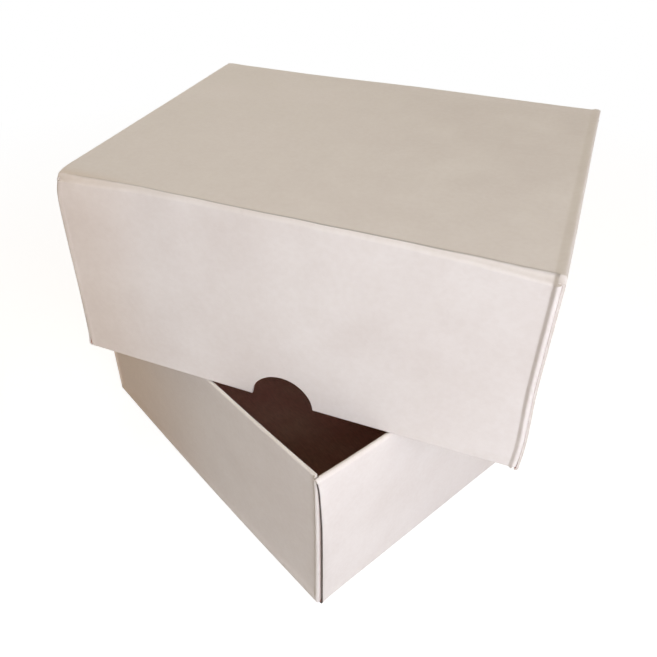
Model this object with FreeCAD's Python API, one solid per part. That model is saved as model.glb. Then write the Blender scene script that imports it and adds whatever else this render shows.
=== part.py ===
import FreeCAD, Part
import os

# Cryogenic storage box: two folded trays of coated board, an open base and a
# deep lift-off lid that lies turned across the base's rim.
#
# Each tray is one die-cut blank.  It is modelled panel by panel, split where
# the blank is creased, so every panel, lining and dust flap is its own solid.
# Frame: origin at the centre of the base's underside, +Z up, +X along the
# base's long sides.  Millimetres.

os.makedirs("parts", exist_ok=True)
Vec = FreeCAD.Vector

# ---- Board and how it folds ----
board = 0.6            # thickness of the coated board
ply_gap = 0.05         # air between two plies that lie against each other
crease_radius = 1.6    # outside radius where a wall turns up from floor or top
corner_radius = 0.9    # outside radius of a standing corner

# ---- Outside sizes ----
lid_length = 133.0
lid_width = 104.0
base_height = 58.4     # rim of the base above the surface it stands on
lid_clearance = 0.3    # play on each side between the lid's lining and the base
head_room = 1.0        # closed, between the base's rim and the inside of the lid's top

# ---- Roll-over walls ----
lining_foot_gap = 0.1  # between a lining's free edge and the curve of the crease
lining_side_gap = 0.15 # between an end lining and the side linings it fits between
lining_end_gap = 0.3   # between a side lining and the dust flap at its end
lining_corner_run = 2.0   # free corners of a lining are cut back this far along
lining_corner_rise = 7.0  # and this far up

# ---- Raw edges of the end walls, measured in from the box corner ----
rim_edge_inset = 0.2       # at the rolled rim
shoulder_edge_inset = 0.8  # where the edge runs straight again
foot_edge_gap = 0.1        # at the foot, clear of the long side's crease
shoulder_drop = 8.0        # from the rim down to that straight stretch

# ---- Dust flaps ----
flap_length = 38.0     # from the tray's side to the flap's free edge
flap_taper = 5.0       # how much the free edge is lower at each end
flap_corner = 6.0      # radius of the flap's free corners
flap_foot_gap = 0.2    # between a flap and the end wall's crease
tip_foot_gap = 0.2     # between a standing corner's lower tip and the floor or top panel
tip_edge_gap = 0.1     # between that tip and the raw edge of the end wall
flap_rim_gap = 0.05    # between a flap and the inside of the rolled rim

# ---- Thumb notches in the lid's long sides ----
thumb_radius = 9.7
thumb_drop = 0.4       # the notch's centre lies this far outside the rim

# ---- How the lid lies on the base ----
seat_gap = 0.2         # between the two rolled rims where they cross
lid_turn = 27.6        # degrees anticlockwise, seen from above
lid_shift_x = 10.5     # centre of the lid from the centre of the base
lid_shift_y = 6.7

# ---- Sizes that follow ----
side_wall = 2 * board + 2 * ply_gap       # outer ply and lining
end_wall = 3 * board + 2 * ply_gap        # outer ply, dust flap and lining
flap_inset = board + ply_gap              # a flap lies behind the end wall's outer ply
lining_foot = crease_radius + lining_foot_gap  # a lining's free edge, above the tray's outside
foot_edge_inset = crease_radius + foot_edge_gap   # an end wall's raw edge at its foot
lid_height = base_height + head_room + board   # closed, both trays reach down to the table
base_length = lid_length - 2 * end_wall - 2 * lid_clearance
base_width = lid_width - 2 * side_wall - 2 * lid_clearance


def arc(centre, radius, start, middle, end):
    """Arc edge in the YZ plane through three unit directions from its centre."""
    points = [Vec(0, centre[0] + radius * u, centre[1] + radius * v) for u, v in (start, middle, end)]
    return Part.Arc(*points).toShape()


def line(start, end):
    """Straight edge in the YZ plane."""
    return Part.LineSegment(Vec(0, start[0], start[1]), Vec(0, end[0], end[1])).toShape()


LEFT = (-1, 0)
RIGHT = (1, 0)
UP = (0, 1)
DOWN = (0, -1)
DOWN_LEFT = (-(0.5 ** 0.5), -(0.5 ** 0.5))


def sweep_width(edges, half_width):
    """Extrude a closed YZ section along X, centred on X = 0."""
    section = Part.Face(Part.Wire(edges))
    section.translate(Vec(-half_width, 0, 0))
    return section.extrude(Vec(2 * half_width, 0, 0))


def outer_ply(half_width, top):
    """Outer ply of a wall with its crease: outside face on Y = 0, inside towards +Y."""
    centre = (crease_radius, crease_radius)
    edges = [
        arc(centre, crease_radius, DOWN, DOWN_LEFT, LEFT),
        line((0, crease_radius), (0, top)),
        line((0, top), (board, top)),
        line((board, top), (board, crease_radius)),
        arc(centre, crease_radius - board, LEFT, DOWN_LEFT, DOWN),
        line((crease_radius, board), (crease_radius, 0)),
    ]
    return sweep_width(edges, half_width)


def rolled_lining(half_width, wall, rim):
    """Rolled rim and the lining that hangs from it, down to just clear of the crease."""
    roll = wall / 2
    centre = (roll, rim - roll)
    edges = [
        arc(centre, roll, LEFT, UP, RIGHT),
        line((wall, rim - roll), (wall, lining_foot)),
        line((wall, lining_foot), (wall - board, lining_foot)),
        line((wall - board, lining_foot), (wall - board, rim - roll)),
        arc(centre, roll - board, RIGHT, UP, LEFT),
        line((board, rim - roll), (0, rim - roll)),
    ]
    return sweep_width(edges, half_width)


def trim_to_outline(solid, edges, depth):
    """Keep what lies inside a closed XZ outline, carried through the wall's depth."""
    outline = Part.Face(Part.Wire(edges))
    outline.translate(Vec(0, -depth, 0))
    return solid.common(outline.extrude(Vec(0, 3 * depth, 0)))


def outline_line(start, end):
    """Straight edge in the XZ plane."""
    return Part.LineSegment(Vec(start[0], 0, start[1]), Vec(end[0], 0, end[1])).toShape()


def outline_bezier(poles):
    """Bezier edge in the XZ plane."""
    curve = Part.BezierCurve()
    curve.setPoles([Vec(x, 0, z) for x, z in poles])
    return curve.toShape()


def outline_edges(points):
    """Straight edges of a closed XZ polygon."""
    return [outline_line(a, b) for a, b in zip(points, points[1:] + points[:1])]


def cut_lining_corners(lining, half_width, wall, rim):
    """Cut back the two free corners at the lining's foot."""
    inner = half_width - lining_corner_run
    corner_top = lining_foot + lining_corner_rise
    points = [(-inner, lining_foot), (inner, lining_foot), (half_width, corner_top)]
    points += [(half_width, rim), (-half_width, rim), (-half_width, corner_top)]
    return trim_to_outline(lining, outline_edges(points), wall)


def side_outer(length, height):
    """Outer ply of a long side, ending where the standing corners begin."""
    half_width = length / 2 - flap_inset - corner_radius
    return outer_ply(half_width, height - side_wall / 2)


def side_lining(length, height):
    """Rolled rim and lining of a long side, ending just clear of the dust flaps."""
    half_width = length / 2 - flap_inset - board - ply_gap - lining_end_gap
    lining = rolled_lining(half_width, side_wall, height)
    return cut_lining_corners(lining, half_width, side_wall, height)


def end_outer(width, height):
    """Outer ply of a short end; its raw edges draw in from the rim to a shoulder."""
    rim_half = width / 2 - rim_edge_inset
    shoulder_half = width / 2 - shoulder_edge_inset
    foot_half = width / 2 - foot_edge_inset
    top = height - end_wall / 2
    shoulder = height - shoulder_drop
    pull = (top - shoulder) / 2
    right_poles = [
        (shoulder_half, shoulder),
        (shoulder_half, shoulder + pull),
        (rim_half, top - pull),
        (rim_half, top),
    ]
    left_poles = [(-x, z) for x, z in reversed(right_poles)]
    edges = [
        outline_line((-foot_half, 0), (foot_half, 0)),
        outline_line((foot_half, 0), (shoulder_half, shoulder)),
        outline_bezier(right_poles),
        outline_line((rim_half, top), (-rim_half, top)),
        outline_bezier(left_poles),
        outline_line((-shoulder_half, shoulder), (-foot_half, 0)),
    ]
    return trim_to_outline(outer_ply(rim_half, top), edges, end_wall)


def end_lining(width, height):
    """Rolled rim and lining of a short end.

    The roll is as wide as the outer ply's rim on its outer half.  From its
    crown inward it narrows to pass between the two side linings.
    """
    rim_half = width / 2 - rim_edge_inset
    lining_half = width / 2 - side_wall - lining_side_gap
    lining = rolled_lining(rim_half, end_wall, height)
    spare = rim_half - lining_half
    for x in (-rim_half, lining_half):
        lining = lining.cut(Part.makeBox(spare, end_wall, height, Vec(x, end_wall / 2, 0)))
    run_start = lining_half - lining_corner_run
    corner_top = lining_foot + lining_corner_rise
    for side in (-1, 1):
        corner = [
            (side * run_start, lining_foot),
            (side * rim_half, lining_foot),
            (side * rim_half, corner_top),
            (side * lining_half, corner_top),
        ]
        wedge = Part.Face(Part.Wire(outline_edges(corner))).extrude(Vec(0, 2 * end_wall, 0))
        lining = lining.cut(wedge)
    return lining


def dust_flap(length, width, height):
    """Standing corner and dust flap at the front right: it lies between the end's plies.

    The corner's tip reaches down past the creases, beside the end wall's raw edge.
    """
    outside = length / 2 - flap_inset
    turn_x = outside - corner_radius
    turn_y = -width / 2 + corner_radius
    tip_y = -width / 2 + foot_edge_inset - tip_edge_gap
    free_y = -width / 2 + flap_length
    tip = board + tip_foot_gap
    foot = crease_radius + flap_foot_gap
    top = height - end_wall / 2 - flap_rim_gap
    outer = Part.makeCylinder(corner_radius, top - tip, Vec(turn_x, turn_y, tip))
    inner = Part.makeCylinder(corner_radius - board, top - tip, Vec(turn_x, turn_y, tip))
    quarter = Part.makeBox(corner_radius, corner_radius, height, Vec(turn_x, turn_y - corner_radius, 0))
    corner = outer.cut(inner).common(quarter)
    points = [(turn_y, tip), (tip_y, foot), (free_y, foot + flap_taper)]
    points += [(free_y, top - flap_taper), (turn_y, top)]
    loop = Part.makePolygon([Vec(outside - board, y, z) for y, z in points + points[:1]])
    flap = Part.Face(loop).extrude(Vec(board, 0, 0))
    free_corners = [edge for edge in flap.Edges if is_free_corner(edge, free_y)]
    flap = flap.makeFillet(flap_corner, free_corners)
    return corner.fuse(flap).removeSplitter()


def is_free_corner(edge, free_y):
    """True for the short edges through the board at the flap's free end."""
    middle = edge.CenterOfMass
    return abs(middle.y - free_y) < board / 10 and abs(edge.Length - board) < board / 10


def flat_panel(length, width):
    """Floor of the base or top of the lid, out to where its creases begin."""
    reach_x = length / 2 - crease_radius
    reach_y = width / 2 - crease_radius
    return Part.makeBox(2 * reach_x, 2 * reach_y, board, Vec(-reach_x, -reach_y, 0))


def thumb_notch(wall_panel, height):
    """Cut the half-round notch through a long side's rim."""
    centre = Vec(0, -side_wall, height + thumb_drop)
    return wall_panel.cut(Part.makeCylinder(thumb_radius, 4 * side_wall, centre, Vec(0, 1, 0)))


def stand_on_side(panel, turn, x, y):
    """Turn a wall panel about Z and set its outside face at its place in the tray."""
    placed = panel.copy()
    placed.rotate(Vec(0, 0, 0), Vec(0, 0, 1), turn)
    placed.translate(Vec(x, y, 0))
    return placed


def folded_tray(length, width, height, notched):
    """All panels of one tray, standing on its flat panel with the rim up."""
    panels = {"panel": flat_panel(length, width)}
    long_outer = side_outer(length, height)
    long_lining = side_lining(length, height)
    if notched:
        long_outer = thumb_notch(long_outer, height)
        long_lining = thumb_notch(long_lining, height)
    for name, turn, y in (("front", 0, -width / 2), ("back", 180, width / 2)):
        panels[name + "_wall"] = stand_on_side(long_outer, turn, 0, y)
        panels[name + "_lining"] = stand_on_side(long_lining, turn, 0, y)
    short_outer = end_outer(width, height)
    short_lining = end_lining(width, height)
    for name, turn, x in (("right", 90, length / 2), ("left", -90, -length / 2)):
        panels[name + "_wall"] = stand_on_side(short_outer, turn, x, 0)
        panels[name + "_lining"] = stand_on_side(short_lining, turn, x, 0)
    front_right = dust_flap(length, width, height)
    back_right = front_right.mirror(Vec(0, 0, 0), Vec(0, 1, 0))
    panels["front_right_flap"] = front_right
    panels["back_right_flap"] = back_right
    panels["front_left_flap"] = front_right.mirror(Vec(0, 0, 0), Vec(1, 0, 0))
    panels["back_left_flap"] = back_right.mirror(Vec(0, 0, 0), Vec(1, 0, 0))
    return panels


def lay_lid(panel):
    """Turn a lid panel rim down and lay it across the base's rim."""
    placed = panel.mirror(Vec(0, 0, 0), Vec(0, 0, 1))
    placed.rotate(Vec(0, 0, 0), Vec(0, 0, 1), lid_turn)
    placed.translate(Vec(lid_shift_x, lid_shift_y, base_height + seat_gap + lid_height))
    return placed


def main():
    nodes = {}
    for name, panel in folded_tray(base_length, base_width, base_height, False).items():
        nodes["base_floor" if name == "panel" else "base_" + name] = panel
    for name, panel in folded_tray(lid_length, lid_width, lid_height, True).items():
        nodes["lid_top" if name == "panel" else "lid_" + name] = lay_lid(panel)
    for name, shape in nodes.items():
        shape.exportStep("parts/" + name + ".step")
        size = shape.BoundBox
        print(name, len(shape.Solids), shape.isValid(), round(shape.Volume, 1),
              [round(v, 2) for v in (size.XMin, size.YMin, size.ZMin, size.XMax, size.YMax, size.ZMax)])


main()
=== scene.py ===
import math

import bmesh
import bpy
import numpy as np
from mathutils import Matrix, Vector


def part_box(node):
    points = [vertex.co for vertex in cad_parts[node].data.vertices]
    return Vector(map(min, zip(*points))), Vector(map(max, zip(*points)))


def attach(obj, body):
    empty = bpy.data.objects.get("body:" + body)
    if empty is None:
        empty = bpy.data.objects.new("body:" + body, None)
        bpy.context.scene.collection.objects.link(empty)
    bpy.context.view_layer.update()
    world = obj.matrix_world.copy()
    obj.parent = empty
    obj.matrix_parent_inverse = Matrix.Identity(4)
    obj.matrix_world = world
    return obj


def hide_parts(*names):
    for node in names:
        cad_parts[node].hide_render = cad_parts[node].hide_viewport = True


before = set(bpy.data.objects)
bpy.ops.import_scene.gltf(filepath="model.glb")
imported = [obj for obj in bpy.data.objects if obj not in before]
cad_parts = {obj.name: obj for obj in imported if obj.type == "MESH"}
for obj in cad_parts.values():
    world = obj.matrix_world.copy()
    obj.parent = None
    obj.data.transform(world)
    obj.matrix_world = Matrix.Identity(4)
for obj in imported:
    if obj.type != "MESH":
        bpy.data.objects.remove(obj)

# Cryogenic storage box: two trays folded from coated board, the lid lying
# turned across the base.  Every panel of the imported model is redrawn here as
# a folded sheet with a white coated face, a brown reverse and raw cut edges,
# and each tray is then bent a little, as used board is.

MM = 0.001
COATED, REVERSE, RAW_EDGE = 0, 1, 2    # material index of a sheet's faces


# ---- Measures taken from the frame ----

def low(node):
    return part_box(node)[0]


def high(node):
    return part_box(node)[1]


def span(node):
    return high(node) - low(node)


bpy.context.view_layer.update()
board = span("base_floor").z
crease = low("base_floor").x - low("base_left_wall").x
side_wall = span("base_front_lining").y
end_wall = span("base_right_lining").x
flap_inset = side_wall / 2
lining_foot = low("base_front_lining").z
flap_length = span("base_front_right_flap").y
base_length = high("base_right_wall").x - low("base_left_wall").x
side_outer_inset = (base_length - span("base_front_wall").x) / 2
side_lining_inset = (base_length - span("base_front_lining").x) / 2
corner_radius = side_outer_inset - flap_inset

# ---- Raw edges of the end walls and tips of the corners, fitted to how the board lies in the photo ----
edge_insets = {                     # at the rim and at the shoulder
    "base": (-0.1 * MM, 0.42 * MM),
    "lid": (0.2 * MM, 0.8 * MM),
}
foot_edge_inset = 0.9 * MM
shoulder_drop = 7.0 * MM            # from the rim down to the shoulder
tip_foot = 0.3 * MM                 # lower tip of a standing corner

# ---- Details of the blank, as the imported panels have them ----
lining_side_gap = 0.15 * MM         # between an end lining and the side linings
lining_corner_run = 2.0 * MM        # a lining's free corners are cut back this far along
lining_corner_rise = 7.0 * MM       # and this far up
flap_taper = 5.0 * MM               # a flap's free edge is lower by this much at each end
flap_corner = 6.0 * MM              # radius of its free corners
flap_foot_gap = 0.2 * MM            # between a flap and the end wall's crease
flap_rim_gap = 0.05 * MM            # between a flap and the rolled rim
thumb_radius = 9.7 * MM
thumb_drop = 0.4 * MM               # the notch's centre lies this far outside the rim

# ---- Folds: the creases are pressed tight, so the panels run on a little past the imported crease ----
tight_fold = 0.7 * MM               # outside radius

# ---- How finely the sheets are divided ----
mesh_step = 2.5 * MM                # across the middle of a panel
edge_steps = [                      # distances from its edges
    s * MM for s in (0, 0.2, 0.4, 0.6, 0.8, 1, 1.2, 1.35, 1.5, 1.65, 1.8, 2, 2.3, 2.8, 3.6, 5)
]
edge_share = 0.4                    # which are used up to this share of its length
flat_steps = 4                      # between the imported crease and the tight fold
crease_steps = 8
roll_steps = 20
notch_sides = 96
sharp_from = math.radians(35)       # edges that turn more than this are shaded sharp
hair = 0.01 * MM                    # more than rounding error, less than any size here

# ---- How far each tray has given, fitted to the photo ----
tray_habits = {
    "base": {
        "right_lift": 0.7 * MM,             # an end's raw edges spring off its flaps this far
        "left_lift": 0.7 * MM,
        "left_ridge": 1.0,                  # how proud the left corners stand, as a share of the right
        "rim_splay": (0.0, 1.15 * MM),      # the front rim leans out: at its ends, and more between
    },
    "lid": {
        "right_lift": 0.0,
        "left_lift": -0.4 * MM,             # pressed in
        "left_ridge": 0.1,
        "rim_splay": (0.4 * MM, 0.5 * MM),
    },
}


def measure_tray(prefix):
    """Sizes, placing matrix and habits of a tray that is drawn rim up about its panel's centre."""
    panel = prefix + ("_floor" if prefix == "base" else "_top")
    if prefix == "base":
        along, across = Vector((span(panel).x, 0, 0)), Vector((0, span(panel).y, 0))
        up, origin = Vector((0, 0, 1)), (low(panel) + high(panel)) / 2
        origin.z = low(panel).z
        height = high("base_front_lining").z - origin.z
    else:
        corners = [v.co.copy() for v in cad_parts[panel].data.vertices]
        near = min(corners, key=lambda c: c.y)
        right = max(corners, key=lambda c: c.x)
        far = max(corners, key=lambda c: c.y)
        along, across = right - near, far - right
        along.z = across.z = 0
        up, origin = Vector((0, 0, -1)), (near + far) / 2
        origin.z = high(panel).z
        height = origin.z - low("lid_front_lining").z
    place = Matrix.Identity(4)
    for column, axis in enumerate((along.normalized(), across.normalized(), up)):
        for row in range(3):
            place[row][column] = axis[row]
    place.translation = origin
    return {
        "prefix": prefix,
        "panel": panel,
        "length": along.length + 2 * crease,
        "width": across.length + 2 * crease,
        "height": height,
        "place": np.array(place),
        **tray_habits[prefix],
    }


# ---- Sections: rows of (a, b, normal a, normal b) along the coated face ----

def bend(centre, radius, start, end, steps):
    rows = []
    for k in range(steps + 1):
        angle = math.radians(start + (end - start) * k / steps)
        out = (math.cos(angle), math.sin(angle))
        rows.append((centre[0] + radius * out[0], centre[1] + radius * out[1], *out))
    return rows


def divisions(length):
    """Distances across a panel, closer together near both of its edges."""
    near = [s for s in edge_steps if s < edge_share * length]
    middle = length - 2 * near[-1]
    count = max(1, round(middle / mesh_step))
    inner = [near[-1] + middle * k / count for k in range(1, count)]
    return near + inner + [length - s for s in reversed(near)]


def run(start, end, normal):
    """Rows after start, up to end, along a straight stretch."""
    length = math.dist(start, end)
    shares = [d / length for d in divisions(length)[1:]]
    return [(*(s + (e - s) * k for s, e in zip(start, end)), *normal) for k in shares]


def outer_section(top):
    """From the panel's edge round the tight fold and up the wall."""
    rows = [(crease - (crease - tight_fold) * k / flat_steps, 0, 0, -1) for k in range(flat_steps)]
    rows += bend((tight_fold, tight_fold), tight_fold, 270, 180, crease_steps)
    return rows + run((0, tight_fold), (0, top), (-1, 0))


def lining_section(wall, rim):
    roll = wall / 2
    rows = bend((roll, rim - roll), roll, 180, 0, roll_steps)
    return rows + run((wall, rim - roll), (wall, lining_foot), (1, 0))


def flap_section(length, width):
    outside = length / 2 - flap_inset
    turn = (outside - corner_radius, corner_radius - width / 2)
    rows = bend(turn, corner_radius, 270, 360, crease_steps)
    return rows + run((outside, turn[1]), (outside, flap_length - width / 2), (1, 0))


def panel_section(length):
    reach = length / 2 - crease
    return [(-reach, 0, 0, -1)] + run((-reach, 0), (reach, 0), (0, -1))


# ---- How wide each panel is, row by row ----

def end_outer_half(tray, z):
    """Half width of an end's outer ply: its raw edges draw in from the rim to a shoulder."""
    width, height = tray["width"], tray["height"]
    rim_half, shoulder_half = (width / 2 - inset for inset in edge_insets[tray["prefix"]])
    shoulder, top = height - shoulder_drop, height - end_wall / 2
    if z > shoulder:
        return shoulder_half + (rim_half - shoulder_half) * ((z - shoulder) / (top - shoulder)) ** 2
    foot_half = width / 2 - foot_edge_inset
    return foot_half + (shoulder_half - foot_half) * max(z, 0) / shoulder


def cut_back(half, z):
    """Half width of a lining near its foot, where the free corners are cut back."""
    rise = min(max((z - lining_foot) / lining_corner_rise, 0), 1)
    return half - lining_corner_run * (1 - rise)


def end_lining_half(tray, y, z):
    """The rolled rim is wide over the dust flaps, and narrow past its crown, between the side linings."""
    rim_half = tray["width"] / 2 - edge_insets[tray["prefix"]][0]
    lining_half = tray["width"] / 2 - side_wall - lining_side_gap
    if y < end_wall / 2 + hair:
        return rim_half
    return cut_back(lining_half, z)


def flap_limits(rows, width, height):
    """Lowest and highest Z of the dust flap at each row: it tapers and its free corners are round."""
    top, foot = height - end_wall / 2 - flap_rim_gap, crease + flap_foot_gap
    turn_y, free_y = corner_radius - width / 2, flap_length - width / 2
    tip_y = crease - width / 2
    lows, highs = [], []
    for _, y, *_ in rows:
        taper = flap_taper * min(max((y - turn_y) / (free_y - turn_y), 0), 1)
        into = min(max(y - (free_y - flap_corner), 0), flap_corner)
        rounding = flap_corner - math.sqrt(flap_corner ** 2 - into ** 2)
        past_tip = min(max((y - turn_y) / (tip_y - turn_y), 0), 1)
        lows.append(tip_foot + (foot - tip_foot) * past_tip + taper + rounding)
        highs.append(top - taper - rounding)
    return lows, highs


# ---- Sheets ----

def sheet(rows, lows, highs, spread):
    """Closed thin sheet: the section's rows, each carried across from its low to its high end."""
    widest = max(h - l for l, h in zip(lows, highs))
    shares = [d / widest for d in divisions(widest)]
    columns = len(shares) - 1
    mesh = bmesh.new()
    faces = []
    for depth in (0.0, board):
        grid = []
        for (a, b, na, nb), start, end in zip(rows, lows, highs):
            across = [start + (end - start) * share for share in shares]
            grid.append([mesh.verts.new(spread(a - na * depth, b - nb * depth, w)) for w in across])
        faces.append(grid)
    for grid, index in zip(faces, (COATED, REVERSE)):
        for upper, lower in zip(grid, grid[1:]):
            for k in range(columns):
                mesh.faces.new((upper[k], upper[k + 1], lower[k + 1], lower[k])).material_index = index
    front, back = faces
    rim_pairs = [list(zip(front[i], back[i])) for i in (0, -1)]
    rim_pairs += [[(f[k], b[k]) for f, b in zip(front, back)] for k in (0, -1)]
    for pairs in rim_pairs:
        for (f0, b0), (f1, b1) in zip(pairs, pairs[1:]):
            mesh.faces.new((f0, f1, b1, b0)).material_index = RAW_EDGE
    bmesh.ops.recalc_face_normals(mesh, faces=mesh.faces)
    return mesh


def wall_spread(turn, x, y):
    """Wall sections lie in (inward, up); the wall is then turned about Z and set in its place."""
    c, s = round(math.cos(math.radians(turn))), round(math.sin(math.radians(turn)))
    return lambda inward, up, w: (x + c * w - s * inward, y + s * w + c * inward, up)


def flap_spread(side_x, side_y):
    return lambda x, y, z: (side_x * x, side_y * y, z)


def facing_walls(prefix, places, **plies):
    """Outer ply and lining of two facing walls, each turned and set in its place."""
    made = {}
    for name, turn, x, y in places:
        spread = wall_spread(turn, x, y)
        for kind, (rows, half) in plies.items():
            made[f"{prefix}_{name}_{kind}"] = sheet(rows, [-h for h in half], half, spread)
    return made


def side_walls(tray):
    half_l, half_w = tray["length"] / 2, tray["width"] / 2
    outer = outer_section(tray["height"] - side_wall / 2)
    lining = lining_section(side_wall, tray["height"])
    return facing_walls(
        tray["prefix"], (("front", 0, 0, -half_w), ("back", 180, 0, half_w)),
        wall=(outer, [half_l - side_outer_inset] * len(outer)),
        lining=(lining, [cut_back(half_l - side_lining_inset, z) for _, z, *_ in lining]),
    )


def end_walls(tray):
    half_l = tray["length"] / 2
    outer = outer_section(tray["height"] - end_wall / 2)
    lining = lining_section(end_wall, tray["height"])
    return facing_walls(
        tray["prefix"], (("right", 90, half_l, 0), ("left", -90, -half_l, 0)),
        wall=(outer, [end_outer_half(tray, z) for _, z, *_ in outer]),
        lining=(lining, [end_lining_half(tray, y, z) for y, z, *_ in lining]),
    )


def dust_flaps(tray):
    section = flap_section(tray["length"], tray["width"])
    lows, highs = flap_limits(section, tray["width"], tray["height"])
    made = {}
    for end, side_x in (("right", 1), ("left", -1)):
        for side, side_y in (("front", 1), ("back", -1)):
            name = f"{tray['prefix']}_{side}_{end}_flap"
            made[name] = sheet(section, lows, highs, flap_spread(side_x, side_y))
    return made


def flat_panel(tray):
    section, reach = panel_section(tray["length"]), tray["width"] / 2 - crease
    lows, highs = [-reach] * len(section), [reach] * len(section)
    return {tray["panel"]: sheet(section, lows, highs, lambda x, z, y: (x, y, z))}


def tray_sheets(tray):
    """Every panel of one tray as a bmesh in tray coordinates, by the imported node's name."""
    return {**flat_panel(tray), **side_walls(tray), **end_walls(tray), **dust_flaps(tray)}


def thumb_cutter(tray):
    """Cylinder that cuts both notches of the lid, in tray coordinates."""
    mesh = bmesh.new()
    centre = Matrix.Translation((0, 0, tray["height"] + thumb_drop))
    bmesh.ops.create_cone(
        mesh, cap_ends=True, segments=notch_sides, radius1=thumb_radius, radius2=thumb_radius,
        depth=2 * tray["width"], matrix=centre @ Matrix.Rotation(math.pi / 2, 4, "X"),
    )
    for face in mesh.faces:
        face.material_index = RAW_EDGE
    return make_object("thumb_cutter", mesh)


def make_object(name, mesh):
    data = bpy.data.meshes.new(name)
    mesh.to_mesh(data)
    mesh.free()
    piece = bpy.data.objects.new(name, data)
    bpy.context.scene.collection.objects.link(piece)
    return piece


def cut(piece, cutter):
    """Cut the piece's mesh with the cutter and keep the result as its mesh."""
    modifier = piece.modifiers.new("notch", "BOOLEAN")
    modifier.operation, modifier.object, modifier.solver = "DIFFERENCE", cutter, "EXACT"
    bpy.context.view_layer.update()
    graph = bpy.context.evaluated_depsgraph_get()
    result = bpy.data.meshes.new_from_object(piece.evaluated_get(graph))
    piece.modifiers.remove(modifier)
    piece.data = result


# ---- How the made-up trays are bent ----
# Every bend is a shift of tray coordinates, so that plies which lie together
# stay together.  All amounts are fitted to how the board lies in the photo.

# The score beside the lid's front crease
score_reach = 0.3 * MM       # this far in from the crease at the left end
score_bow = 1.35 * MM        # further in along its middle
score_bow_run = 30 * MM      # which it reaches over this stretch
score_return = 0.8 * MM      # and less far in again at the right end
score_rag = 0.06 * MM        # raggedness of its line, from two waves this long
score_rag_lengths = (2.3 * MM, 3.7 * MM)
score_width = 0.2 * MM       # board left between the score and the fold that has drawn in to it
score_step = 0.12 * MM       # the panel lies this much lower than the ridge along the score
score_flank = 0.4 * MM
score_slope = 1.3 * MM       # past the score the board slopes down this much more
score_end = 10 * MM          # the step starts over this stretch at each end,
score_end_share = 0.3        # at the right from this share of it
ply_slack = 0.05 * MM        # a point this close to the panel's ply belongs to it

# The lid's panel inside its right border
border_height = 0.5 * MM     # it lies this far in
border_flank = 2.3 * MM
border_from_left = 60 * MM   # the border grows over this stretch from the left end
border_from_back = 5 * MM    # and over this one from the back, from this share of it
border_back_share = 0.3
panel_depth = (1.5 * MM, 8 * MM)     # depth that moves whole with the panel, and then fades

# The long walls between the standing corners
wall_recess = 0.6 * MM       # they lie this far in
corner_flank = 1.1 * MM
recess_band = (3 * MM, 3 * MM)       # plies this near the wall move whole, and then less
recess_rise = 3 * MM         # the base's recess grows over this height above its crease

# Slack boards
wall_belly = 0.4 * MM        # outwards, between a wall's corners
rim_swell = 0.3              # share of the belly that grows up to the rim instead of closing there
panel_sag = 0.4 * MM         # inwards, in the panel's middle
board_waves = 0.07 * MM
wave_lengths = (17 * MM, 23 * MM)    # for a turn of one radian
belly_band = (4 * MM, 8 * MM)        # plies this near a wall move whole, and then less
sag_depth = 12 * MM          # the sag fades over this height

# Raw side edges that spring off the flaps
lift_reach = 2.5 * MM        # how fast the lift fades inward from an edge
lift_held = 22 * MM          # the rolled rim holds an edge down over this height
lift_at_foot = 0.3           # share of the lift that is left at the foot

# Rims, and the foot of the base
rim_band = (3 * MM, 8 * MM)  # plies this near the wall move whole, and then less
draw_in_right = 0.9 * MM     # the base's right rim is drawn in this far at the front corner
draw_in_reach = 12 * MM
foot_spread = 0.7 * MM       # the base's long sides bow out this far at their bottom creases
foot_height = 30 * MM

# The lid's ends and corners
end_out = 0.7 * MM           # the right end stands out this far
front_reach = 25 * MM        # the front corners' own amounts fade over this distance
right_corner_out = 0.8 * MM  # its front corner stands out more, in a bulge
right_corner_drop = 9 * MM   # with its middle this far from the rim
right_corner_height = 12 * MM
left_corner_out = (0.5 * MM, 1.1 * MM)   # the left one at its tip, and more towards its rim
left_corner_height = 8 * MM
left_end_out = (0.3 * MM, 0.6 * MM)      # the left end at the panel, and more towards the rim
tip_push = (0.9 * MM, 0.5 * MM, 0.4 * MM)    # the left front tip is pushed in
tip_reach = 4 * MM
back_rise = 0.6 * MM         # the panel rises to the back, right of its left fifth
back_rise_from, back_rise_run = -0.6, 0.8    # from the middle, in half lengths


def smooth(t):
    """0 up to t = 0, 1 from t = 1, and a soft step between."""
    t = np.clip(t, 0.0, 1.0)
    return t * t * (3 - 2 * t)


def rise_from(least, t):
    """The same soft step, from least instead of 0."""
    return least + (1 - least) * smooth(t)


def beside(distance, whole, fade):
    """1 within whole of an edge, and 0 from a further fade on."""
    return 1 - smooth((distance - whole) / fade)


def arch(share, power=2):
    """1 in the middle of a side and 0 at its ends, where share is -1 or 1."""
    return np.clip(1 - abs(share) ** power, 0, 1)


def fading(distance, reach):
    """1 at an edge, fading without end."""
    return np.exp(-np.clip(distance, 0, None) / reach)


def tray_sizes(points, tray):
    """Half length, half width and height, and x, y and z as views, which follow the points' shifts."""
    half_l, half_w, height = tray["length"] / 2, tray["width"] / 2, tray["height"]
    return half_l, half_w, height, *points.T


def waves(u, v, seed):
    """Slow unevenness of a board, from -1 to 1 over a panel; the bare factors keep it from repeating."""
    a, b = u / wave_lengths[0] + seed, v / wave_lengths[1] - 2 * seed
    return (np.sin(a + 1.3 * np.sin(b)) + np.sin(b * 1.7 + np.cos(a * 0.6))) / 2


def score_line(x, tray):
    """How far in from the front crease the lid's panel is scored: a drawn-in, slightly ragged line."""
    half_l = tray["length"] / 2
    short, long = score_rag_lengths
    ragged = score_rag * (np.sin(x / short) + np.sin(x / long + 1.1))
    bowed = score_bow * smooth((x + half_l) / score_bow_run)
    return score_reach + bowed - score_return * np.clip(x / half_l, 0, 1) ** 3 + ragged


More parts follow.
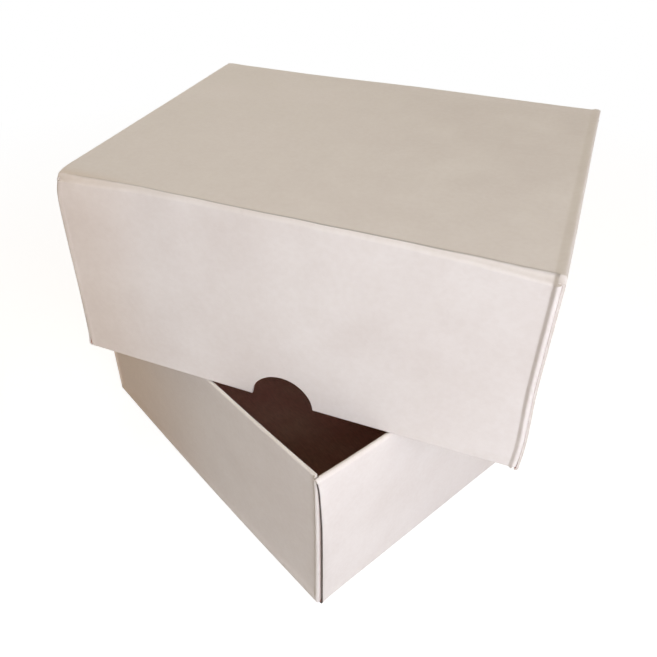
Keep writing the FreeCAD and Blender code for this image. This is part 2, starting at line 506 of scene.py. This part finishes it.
def draw_in_front(points, tray):
    """The lid's front crease has drawn in to the score, and its wall leans out from there to the rim."""
    half_l, half_w, height, x, y, z = tray_sizes(points, tray)
    from_wall, score = y + half_w, crease + score_line(x, tray)
    lean = (score - tight_fold - score_width) * arch(x / half_l, 3)
    outside_score = 1 - np.clip((from_wall - tight_fold) / (score - tight_fold), 0, 1)
    in_wall = beside(from_wall, *recess_band)
    share = np.where(z < board + ply_slack, outside_score, in_wall)
    points[:, 1] += lean * share * np.clip(1 - z / height, 0, 1) ** 1.5
    return points


def press_panel(points, tray):
    """The lid's panel is scored beside its front crease and lies in from its right border."""
    half_l, half_w, _, x, y, z = tray_sizes(points, tray)
    from_front, from_left = y + half_w - crease, x + half_l
    from_back, from_right = half_w - y, half_l - crease - x
    reach = score_line(x, tray)
    along = smooth(from_left / score_end) * rise_from(score_end_share, from_right / score_end)
    step = score_step * along * smooth((from_front - reach) / score_flank)
    past_score = np.clip((reach - from_front) / (reach + crease), 0, 1)
    slope = score_slope * (1 - (1 - past_score) ** 2)
    border = border_height * smooth((from_right + crease - tight_fold) / border_flank)
    border *= smooth(from_left / border_from_left)
    border *= rise_from(border_back_share, from_back / border_from_back)
    points[:, 2] += beside(z, *panel_depth) * (step + slope + border)
    return points


def recess_walls(points, tray):
    """The long walls lie in from the standing corners, which stay proud as soft ridges."""
    half_l, half_w, _, x, y, z = tray_sizes(points, tray)
    inside = smooth((half_l - side_outer_inset - abs(x)) / corner_flank)
    inside[x < 0] = np.maximum(inside, 1 - tray["left_ridge"])[x < 0]
    at_wall = beside(half_w - abs(y), *recess_band)
    risen = smooth((z - crease) / recess_rise) if tray["prefix"] == "base" else 1.0
    points[:, 1] -= np.sign(y) * wall_recess * inside * at_wall * risen
    return points


def belly(points, tray):
    """Walls belly out between their corners, the panel sags in, and every face is a little uneven."""
    half_l, half_w, height, x, y, z = tray_sizes(points, tray)
    along, across = arch(x / half_l), arch(y / half_w)
    up = np.clip(z / height, 0, 1)
    swell = (1 - rim_swell) * np.sin(np.pi * up) + rim_swell * up
    side_out = wall_belly * along * swell + board_waves * waves(x, z, 0.4) * np.sqrt(along)
    end_out = wall_belly * across * swell + board_waves * waves(y, z, 2.1) * np.sqrt(across)
    panel_in = panel_sag * along * across + board_waves * waves(x, y, 3.3) * np.sqrt(along * across)
    points[:, 0] += np.sign(x) * beside(half_l - abs(x), *belly_band) * end_out
    points[:, 1] += np.sign(y) * beside(half_w - abs(y), *belly_band) * side_out
    points[:, 2] += beside(z, 0, sag_depth) * panel_in
    return points


def lift_raw_edges(points, tray):
    """An end wall's outer ply springs off the flaps beside its raw edges."""
    _, _, height, x, y, z = tray_sizes(points, tray)
    from_edge = np.array([end_outer_half(tray, level) for level in z]) - abs(y)
    free = smooth((height - end_wall / 2 - z) / lift_held) * rise_from(lift_at_foot, z / crease)
    lift = np.where(x > 0, tray["right_lift"], tray["left_lift"])
    points[:, 0] += np.sign(x) * lift * fading(from_edge, lift_reach) * free
    return points


def splay_rims(points, tray):
    """Towards its rim the front wall leans out; the base's right rim is drawn in at the front corner."""
    half_l, half_w, height, x, y, z = tray_sizes(points, tray)
    up = np.clip(z / height, 0, 1)
    at_ends, more_between = tray["rim_splay"]
    out = at_ends + more_between * arch(x / half_l)
    points[:, 1] -= out * up ** 2 * beside(y + half_w, *rim_band)
    if tray["prefix"] == "base":
        at_corner = beside(half_l - x, *rim_band) * fading(y + half_w, draw_in_reach)
        points[:, 0] -= draw_in_right * at_corner * up ** 4
    return points


def spread_foot(points, tray):
    """The base's long sides bow out along their bottom creases."""
    half_l, half_w, _, x, y, z = tray_sizes(points, tray)
    points[:, 1] += foot_spread * (y / half_w) * arch(x / half_l) * beside(z, 0, foot_height)
    return points


def skew_lid(points, tray):
    """The lid's ends stand a little out, most at its front corners, and its panel rises to the back."""
    half_l, half_w, height, x, y, z = tray_sizes(points, tray)
    front = beside(y + half_w, 0, front_reach)
    off_bulge = (z - height + right_corner_drop) / right_corner_height
    right_out = end_out + right_corner_out * front * np.exp(-off_bulge ** 2)
    at_tip, more_to_rim = left_corner_out
    corner_out = at_tip + more_to_rim * (1 - fading(z, left_corner_height))
    at_panel, more_up = left_end_out
    left_out = front * corner_out + (1 - front) * (at_panel + more_up * z / height)
    points[:, 0] += np.sign(x) * np.where(x > 0, right_out, left_out) * (x / half_l) ** 2
    from_tip = np.linalg.norm(points - np.array((-half_l, -half_w, 0)), axis=1)
    points += np.exp(-(from_tip / tip_reach) ** 2)[:, None] * np.array(tip_push)
    to_back = smooth((y + half_w) / (2 * half_w))
    to_right = smooth((x / half_l - back_rise_from) / back_rise_run)
    points[:, 2] -= back_rise * to_back * to_right * (1 - z / height)
    return points


# ---- Painted shade and painted warm shade, as shares from 0 to 1 at every point of a sheet ----

shade_offset = 0.1 * MM       # past the score
shade_width = 0.5 * MM
shade_start = 3 * MM          # the score line has no painted shade this near the left end,
shade_start_fade = 6 * MM     # shaded after this stretch
shade_grows, shade_at_start = 75 * MM, 0.2     # fully after this one, from this share
shade_ends, shade_at_end = 60 * MM, 0.4        # and less over this one to the right end
shade_edge_width = 0.12 * MM  # along the base's raw edges
warm_shade_band = (2 * MM, 6 * MM)         # what counts as the front side
base_warm_shade_to, base_warm_shade_run = 20 * MM, 75 * MM     # painted warm shade left of here, fully after this stretch
lid_warm_shade_to, lid_warm_shade_run = -34 * MM, 28 * MM
lid_warm_shade = 0.45              # share of the base's


def painted_shade(node, points, tray):
    """Painted shade in the lid's score line, and on and beside the raw side edges of the base's ends,
    where the slit lies in shadow.
    """
    half_l, half_w, _, x, y, z = tray_sizes(points, tray)
    if node == "lid_top":
        from_score = y + half_w - crease - score_line(x, tray)
        from_left, from_right = x + half_l - shade_start, half_l - x
        along = smooth(from_left / shade_start_fade) * rise_from(shade_at_start, from_left / shade_grows)
        along *= rise_from(shade_at_end, from_right / shade_ends)
        return along * np.exp(-((from_score - shade_offset) / shade_width) ** 2)
    if node in ("base_left_wall", "base_right_wall"):
        reach = np.array([end_outer_half(tray, level) for level in z])
        return fading(reach - abs(y), shade_edge_width)
    return np.zeros(len(points))


def painted_warm_shade(points, tray):
    """Painted warm shade on the front sides towards their left ends, the base's more and further."""
    _, half_w, _, x, y, _ = tray_sizes(points, tray)
    at_front = beside(y + half_w, *warm_shade_band)
    if tray["prefix"] == "base":
        return at_front * smooth((base_warm_shade_to - x) / base_warm_shade_run)
    return at_front * lid_warm_shade * smooth((lid_warm_shade_to - x) / lid_warm_shade_run)


# ---- Finishes ----

class Finish:
    """Small helper that builds one node material on top of a Principled BSDF."""

    def __init__(self, name, specular, roughness=None):
        self.material = bpy.data.materials.new(name)
        self.material.use_nodes = True
        self.tree = self.material.node_tree
        self.shader = self.tree.nodes["Principled BSDF"]
        self.shader.inputs["Specular IOR Level"].default_value = specular
        if roughness is not None:
            self.shader.inputs["Roughness"].default_value = roughness
        self.place = self.tree.nodes.new("ShaderNodeAttribute")
        self.place.attribute_name = "tray_mm"

    def node(self, kind, **settings):
        made = self.tree.nodes.new(kind)
        for key, value in settings.items():
            if key in made.inputs:
                made.inputs[key].default_value = value
            else:
                setattr(made, key, value)
        return made

    def link(self, output, target):
        self.tree.links.new(output, target)

    def noise(self, scale, detail=3.0, stretch=(1, 1, 1)):
        """Noise over the tray, with scale as features per millimetre."""
        mapping = self.node("ShaderNodeMapping", Scale=stretch)
        self.link(self.place.outputs["Vector"], mapping.inputs["Vector"])
        noise = self.node("ShaderNodeTexNoise", Scale=scale, Detail=detail)
        self.link(mapping.outputs["Vector"], noise.inputs["Vector"])
        return noise.outputs["Fac"]

    def ramp(self, value, low_stop, high_stop, low_colour, high_colour):
        ramp = self.node("ShaderNodeValToRGB")
        ramp.color_ramp.elements[0].position, ramp.color_ramp.elements[1].position = low_stop, high_stop
        ramp.color_ramp.elements[0].color = (*low_colour, 1)
        ramp.color_ramp.elements[1].color = (*high_colour, 1)
        self.link(value, ramp.inputs["Fac"])
        return ramp.outputs["Color"]

    def mark(self, colour, attribute, full_colour):
        """Multiply by full_colour where the attribute is 1, and by nothing where it is 0."""
        place = self.node("ShaderNodeAttribute", attribute_name=attribute)
        shade = self.ramp(place.outputs["Fac"], 0.0, 1.0, (1, 1, 1), full_colour)
        return self.mix(colour, shade, 1.0)

    def mix(self, first, second, share, blend="MULTIPLY"):
        mix = self.node("ShaderNodeMix", data_type="RGBA", blend_type=blend)
        mix.inputs["Factor"].default_value = share
        self.link(first, mix.inputs["A"])
        self.link(second, mix.inputs["B"])
        return mix.outputs["Result"]

    def bump(self, height, strength, distance, under=None):
        bump = self.node("ShaderNodeBump", Strength=strength, Distance=distance)
        self.link(height, bump.inputs["Height"])
        if under is not None:
            self.link(under, bump.inputs["Normal"])
        return bump.outputs["Normal"]


def linear(red, green, blue):
    """Linear colour of three sRGB values from 0 to 255, by the sRGB standard's own constants."""
    def part(value):
        share = value / 255
        return share / 12.92 if share <= 0.04045 else ((share + 0.055) / 1.055) ** 2.4
    return part(red), part(green), part(blue)


cloud_stops = (0.3, 0.7)         # of a slow noise, between its two colours
warm_shaded_board = (0.9, 0.79, 0.68)  # what board keeps of its colour under the full painted warm shade
# painted shade in the lid's score line and beside the base's raw edges, where the slit lies in shadow
shaded_board = (0.26, 0.24, 0.23)
shaded_edge = (0.19, 0.18, 0.18)


def coated_board():
    """Matt clay coating over solid board: slightly cloudy white, with a faint orange-peel surface."""
    finish = Finish("coated_board", specular=0.35)
    cloud = finish.noise(scale=0.045, detail=4.0)
    fibre = finish.noise(scale=0.7, detail=4.0)
    colour = finish.ramp(cloud, *cloud_stops, linear(232, 226, 221), linear(241, 237, 233))
    speck = finish.ramp(fibre, 0.35, 0.65, (0.975, 0.97, 0.965), (1, 1, 1))
    # painted warm shade towards the left ends of the front sides
    colour = finish.mark(finish.mix(colour, speck, 1.0), "painted_warm_shade", warm_shaded_board)
    # painted shade in the score line and beside the base's raw edges
    colour = finish.mark(colour, "painted_shade", shaded_board)
    finish.link(colour, finish.shader.inputs["Base Color"])
    rough = finish.ramp(cloud, *cloud_stops, (0.55,) * 3, (0.7,) * 3)
    finish.link(rough, finish.shader.inputs["Roughness"])
    slow = finish.noise(scale=0.1, detail=2.0)
    uneven = finish.bump(slow, strength=0.25, distance=0.4 * MM)
    grain = finish.bump(fibre, strength=0.12, distance=0.04 * MM, under=uneven)
    finish.link(grain, finish.shader.inputs["Normal"])
    return finish.material


def brown_reverse():
    """Uncoated reverse: reddish-brown recycled fibre, drawn out along the board."""
    finish = Finish("brown_reverse", specular=0.2, roughness=0.88)
    cloud = finish.noise(scale=0.035, detail=4.0)
    fibre = finish.noise(scale=1.2, detail=6.0, stretch=(0.4, 1.8, 1.8))
    colour = finish.ramp(cloud, *cloud_stops, linear(203, 144, 133), linear(206, 166, 147))
    speck = finish.ramp(fibre, 0.3, 0.7, (0.84, 0.83, 0.82), (1.06, 1.05, 1.04))
    finish.link(finish.mix(colour, speck, 1.0), finish.shader.inputs["Base Color"])
    finish.link(finish.bump(fibre, strength=0.5, distance=0.1 * MM), finish.shader.inputs["Normal"])
    return finish.material


def raw_edge():
    """Cut edge of the board, which shows its white side more than its brown one."""
    finish = Finish("raw_edge", specular=0.2, roughness=0.9)
    streak = finish.noise(scale=1.5, detail=4.0, stretch=(0.3, 0.3, 0.3))
    colour = finish.ramp(streak, *cloud_stops, linear(222, 214, 207), linear(234, 228, 222))
    # painted shade on the base's raw edges, where the slit beside them lies in shadow
    colour = finish.mark(colour, "painted_shade", shaded_edge)
    finish.link(colour, finish.shader.inputs["Base Color"])
    finish.link(finish.bump(streak, strength=0.4, distance=0.1 * MM), finish.shader.inputs["Normal"])
    return finish.material


# ---- Dressing the trays ----

raised_edges = ("right_wall", "left_wall")
notched = ("front_wall", "front_lining", "back_wall", "back_lining")


def dress_tray(tray, bends, finishes):
    """Make, notch, bend and place every sheet of one tray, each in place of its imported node."""
    cutter = thumb_cutter(tray) if tray["prefix"] == "lid" else None
    for node, mesh in tray_sheets(tray).items():
        piece = make_object(node + ".sheet", mesh)
        for finish in finishes:
            piece.data.materials.append(finish)
        if cutter and node.endswith(notched):
            cut(piece, cutter)
        own_bends = [lift_raw_edges] if node.endswith(raised_edges) else []
        settle(node, piece.data, tray, own_bends + bends)
        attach(piece, tray["prefix"])
        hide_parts(node)
    if cutter:
        bpy.data.objects.remove(cutter)


def settle(node, data, tray, bends):
    """Bend the sheet with its tray and place it; its points keep what the finishes need."""
    points = np.empty(len(data.vertices) * 3, np.float32)
    data.vertices.foreach_get("co", points)
    points = points.reshape(-1, 3).astype(float)
    kept = data.attributes.new("tray_mm", "FLOAT_VECTOR", "POINT")
    kept.data.foreach_set("vector", (points / MM).astype(np.float32).ravel())
    # shares of painted shade and painted warm shade, kept with the points
    for name, shares in (("painted_shade", painted_shade(node, points, tray)), ("painted_warm_shade", painted_warm_shade(points, tray))):
        kept = data.attributes.new(name, "FLOAT", "POINT")
        kept.data.foreach_set("value", shares.astype(np.float32))
    for bend_points in bends:
        points = bend_points(points, tray)
    place = tray["place"]
    placed = points @ place[:3, :3].T + place[:3, 3]
    data.vertices.foreach_set("co", placed.astype(np.float32).ravel())
    if np.linalg.det(place[:3, :3]) < 0:
        data.flip_normals()
    data.shade_smooth()
    data.set_sharp_from_angle(angle=sharp_from)
    data.update()


# ---- Floor, light and camera ----

floor_reach = 4.0                   # metres from the middle to each side of the floor
white_from = 0.38                   # metres from the object's middle, where the floor is plain white
white_fade = 1.6                    # full shadow within 1 - 1 / white_fade of that distance
paper_colour = (0.62, 0.61, 0.6)    # by which the floor lights the box
seen_paper_colour = (0.4, 0.4, 0.4)
seen_paper_glow = 0.8               # its own white, on which the soft shadow shows
room_colour = (0.15, 0.09, 0.025)
lamp_aim = Vector((0, 0, 0.06))     # the middle of the box
lamps = (
    # name, azimuth and elevation in degrees, distance and size in metres, brightness, colour
    ("key", -20, 22, 0.55, 0.38, 0.76, (0.87, 0.89, 1.0)),
    ("fill", -40, 38, 1.0, 0.5, 0.10, (1.0, 0.98, 0.94)),
    ("top", -40, 80, 1.0, 0.6, 0.165, (1.0, 1.0, 0.87)),
    ("rear", 150, 12, 1.2, 0.8, 0.34, (1.0, 0.98, 0.95)),
)
camera_location = (0.14999, -0.12554, 0.2008)
camera_pan, camera_tilt, camera_roll = 50.058, 52.659, -0.22    # degrees
camera_sensor, camera_lens = 36, 37.594                         # millimetres
camera_shift = (0.0291, -0.0236)
camera_clip = (0.01, 20)


def sees_white(nodes, links):
    """1 for what the camera sees, straight or as a gloss on the board."""
    path = nodes.new("ShaderNodeLightPath")
    either = nodes.new("ShaderNodeMath")
    either.operation = "MAXIMUM"
    links.new(path.outputs["Is Camera Ray"], either.inputs[0])
    links.new(path.outputs["Is Glossy Ray"], either.inputs[1])
    return either.outputs["Value"]


def near_object(nodes, links):
    """1 on the floor under the object, falling to 0 where the paper runs out into plain white."""
    place = nodes.new("ShaderNodeTexCoord")
    mapping = nodes.new("ShaderNodeMapping")
    mapping.inputs["Scale"].default_value = (1 / white_from,) * 3
    round_fade = nodes.new("ShaderNodeTexGradient")
    round_fade.gradient_type = "SPHERICAL"
    links.new(place.outputs["Object"], mapping.inputs["Vector"])
    links.new(mapping.outputs["Vector"], round_fade.inputs["Vector"])
    steeper = nodes.new("ShaderNodeMath")
    steeper.operation, steeper.use_clamp = "MULTIPLY", True
    steeper.inputs[1].default_value = white_fade
    links.new(round_fade.outputs["Fac"], steeper.inputs[0])
    return steeper.outputs["Value"]


def diffuse(nodes, colour):
    made = nodes.new("ShaderNodeBsdfDiffuse")
    made.inputs["Color"].default_value = (*colour, 1)
    return made.outputs["BSDF"]


def glow(nodes, strength):
    made = nodes.new("ShaderNodeEmission")
    made.inputs["Strength"].default_value = strength
    return made.outputs["Emission"]


def background(nodes, colour):
    made = nodes.new("ShaderNodeBackground")
    made.inputs["Color"].default_value = (*colour, 1)
    return made.outputs["Background"]


def mixed(nodes, links, share, first, second):
    """The first shader where share is 0, and the second where it is 1."""
    mix = nodes.new("ShaderNodeMixShader")
    links.new(share, mix.inputs["Fac"])
    links.new(first, mix.inputs[1])
    links.new(second, mix.inputs[2])
    return mix.outputs["Shader"]


def white_floor():
    """Pale floor that the camera sees as white, with the object's soft shadow on it."""
    mesh = bmesh.new()
    bmesh.ops.create_grid(mesh, x_segments=8, y_segments=8, size=floor_reach)
    floor = make_object("floor", mesh)
    material = bpy.data.materials.new("floor_paper")
    material.use_nodes = True
    nodes, links = material.node_tree.nodes, material.node_tree.links
    nodes.clear()
    output = nodes.new("ShaderNodeOutputMaterial")
    shadowed = nodes.new("ShaderNodeAddShader")
    links.new(diffuse(nodes, seen_paper_colour), shadowed.inputs[0])
    links.new(glow(nodes, seen_paper_glow), shadowed.inputs[1])
    plain = glow(nodes, 1.0)
    seen = mixed(nodes, links, near_object(nodes, links), plain, shadowed.outputs["Shader"])
    paper = diffuse(nodes, paper_colour)
    links.new(mixed(nodes, links, sees_white(nodes, links), paper, seen), output.inputs["Surface"])
    floor.data.materials.append(material)


def soft_world():
    """Dim warm surroundings; the camera sees white."""
    world = bpy.data.worlds.new("surroundings")
    bpy.context.scene.world = world
    world.use_nodes = True
    nodes, links = world.node_tree.nodes, world.node_tree.links
    nodes.clear()
    output = nodes.new("ShaderNodeOutputWorld")
    room, white = background(nodes, room_colour), background(nodes, (1, 1, 1))
    links.new(mixed(nodes, links, sees_white(nodes, links), room, white), output.inputs["Surface"])


def soft_lamp(name, azimuth, elevation, distance, size, brightness, colour):
    """Square lamp aimed at the box.  Azimuth 0 is +X and 90 is +Y, and brightness is about what
    it gives a white surface that faces it."""
    data = bpy.data.lights.new(name, "AREA")
    data.shape, data.size = "SQUARE", size
    data.energy = brightness * (math.pi * distance) ** 2
    data.color = colour
    lamp = bpy.data.objects.new(name, data)
    bpy.context.scene.collection.objects.link(lamp)
    a, e = math.radians(azimuth), math.radians(elevation)
    way = Vector((math.cos(a) * math.cos(e), math.sin(a) * math.cos(e), math.sin(e)))
    lamp.location = lamp_aim + way * distance
    lamp.rotation_euler = way.to_track_quat("Z", "Y").to_euler()


def main_camera():
    """The photo's camera, fitted to the box's straight edges."""
    data = bpy.data.cameras.new("camera")
    camera = bpy.data.objects.new("camera", data)
    bpy.context.scene.collection.objects.link(camera)
    bpy.context.scene.camera = camera
    camera.location = camera_location
    turn = Matrix.Rotation(math.radians(camera_pan), 4, "Z")
    tilt = Matrix.Rotation(math.radians(camera_tilt), 4, "X")
    roll = Matrix.Rotation(math.radians(camera_roll), 4, "Z")
    camera.rotation_euler = (turn @ tilt @ roll).to_euler()
    data.sensor_width, data.lens = camera_sensor, camera_lens
    data.shift_x, data.shift_y = camera_shift
    data.clip_start, data.clip_end = camera_clip


finishes = (coated_board(), brown_reverse(), raw_edge())    # in the order of COATED, REVERSE, RAW_EDGE
base, lid = measure_tray("base"), measure_tray("lid")
dress_tray(base, [recess_walls, belly, splay_rims, spread_foot], finishes)
dress_tray(lid, [draw_in_front, press_panel, recess_walls, belly, splay_rims, skew_lid], finishes)

white_floor()
soft_world()
for lamp in lamps:
    soft_lamp(*lamp)
main_camera()
bpy.context.scene.view_settings.view_transform = "Standard"
